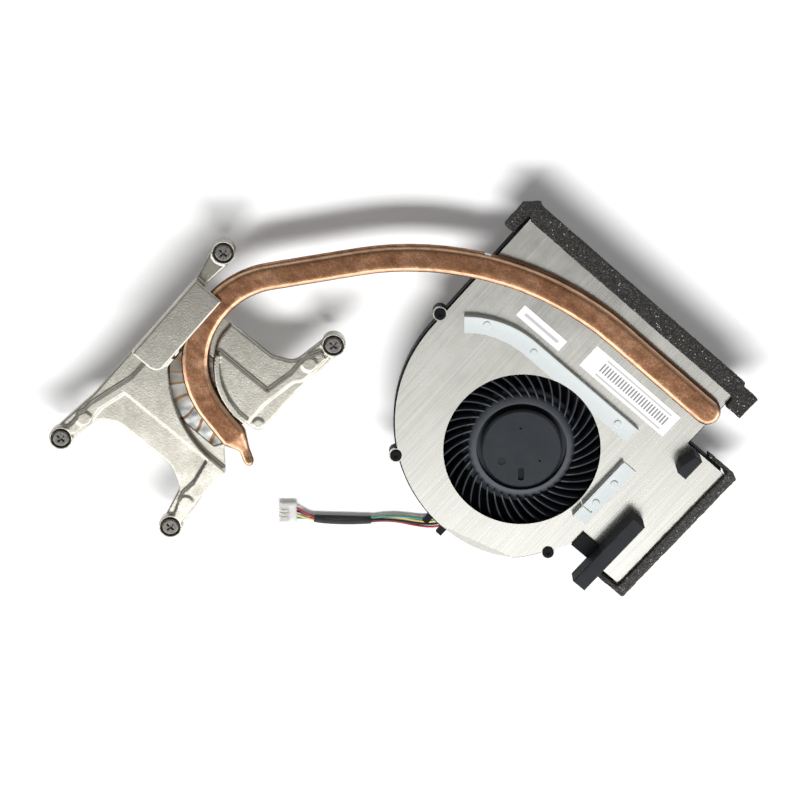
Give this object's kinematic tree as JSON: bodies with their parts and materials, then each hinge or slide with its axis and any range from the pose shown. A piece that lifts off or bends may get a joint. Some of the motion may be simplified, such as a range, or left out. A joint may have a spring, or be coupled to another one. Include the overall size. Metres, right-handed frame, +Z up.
{
  "type": "laptop cooling fan heatsink",
  "caption": "Flat radial fan with foam-edged mouths, a flattened copper heat pipe on its cover and a cast chip bracket with captive screws and a plugged lead.",
  "frame": {"origin": "on the rotor axis, on the underside of the fan base that the part rests on", "axes": "+X along the rear mouth towards the side mouth, +Y out of the rear mouth, +Z up from the base to the cover and the pipe"},
  "size_m": [0.1413, 0.1293, 0.018],
  "materials": {
    "base_plastic": "moulded",
    "cover_sheet": "brushed",
    "black_screw": "black oxide",
    "impeller_plastic": "moulded",
    "steel": "bright",
    "magnet": "dull",
    "bronze": "sintered",
    "washer": "smooth",
    "winding": "enamelled",
    "board": "coated",
    "fin": "plain",
    "copper": "dull",
    "cast_alloy": "cast",
    "tinned_copper": "tinned",
    "strip_steel": "smooth",
    "label": "matt",
    "stop_rubber": "matt",
    "foot_plastic": "matt",
    "foam": "open cell",
    "sleeve": "satin",
    "plug": "moulded",
    "contact": "tinned",
    "wire_green": "smooth",
    "wire_yellow": "smooth",
    "wire_red": "smooth",
    "wire_black": "smooth"
  },
  "bodies": {
    "housing": {"fan_base": "base_plastic", "fan_cover": "cover_sheet", "cover_screws": "black_screw", "bearing_bush": "bronze", "thrust_washer": "washer", "stator_core": "steel", "stator_coils": "winding", "motor_board": "board", "fin_stack": "fin", "heat_pipe": "copper", "cpu_bracket": "cast_alloy", "spreader_plate": "tinned_copper", "guide_strip_long": "strip_steel", "guide_strip_short": "strip_steel", "label_small": "label", "label_large": "label", "stop_bar": "stop_rubber", "stop_foot": "foot_plastic", "corner_pad": "stop_rubber", "rear_foam_seal": "foam", "side_foam_seal": "foam", "wire_sleeve": "sleeve", "plug_housing": "plug", "plug_contacts": "contact", "fan_wire_1": "wire_green", "fan_wire_2": "wire_yellow", "fan_wire_3": "wire_black", "fan_wire_4": "wire_red"},
    "rotor": {"impeller": "impeller_plastic", "rotor_yoke": "steel", "rotor_magnet": "magnet", "rotor_shaft": "steel"},
    "screw_1": {"cpu_screw_1": "steel", "screw_clip_1": "steel"},
    "screw_2": {"cpu_screw_2": "steel", "screw_clip_2": "steel"},
    "screw_3": {"cpu_screw_3": "steel", "screw_clip_3": "steel"},
    "screw_4": {"cpu_screw_4": "steel", "screw_clip_4": "steel"}
  },
  "joints": [
    {"name": "impeller_spin", "type": "hinge", "parent": "housing", "child": "rotor", "pos_m": [0, 0, 0], "axis": [0, 0, 1], "continuous": true},
    {"name": "captive_screw_1_turn", "type": "hinge", "parent": "housing", "child": "screw_1", "pos_m": [-0.0914, -0.0103, 0.012], "axis": [0, 0, 1], "continuous": true},
    {"name": "captive_screw_2_turn", "type": "hinge", "parent": "housing", "child": "screw_2", "pos_m": [-0.0914, -0.0751, 0.012], "axis": [0, 0, 1], "continuous": true},
    {"name": "captive_screw_3_turn", "type": "hinge", "parent": "housing", "child": "screw_3", "pos_m": [-0.055, -0.0751, 0.012], "axis": [0, 0, 1], "continuous": true},
    {"name": "captive_screw_4_turn", "type": "hinge", "parent": "housing", "child": "screw_4", "pos_m": [-0.055, -0.0103, 0.012], "axis": [0, 0, 1], "continuous": true}
  ]
}
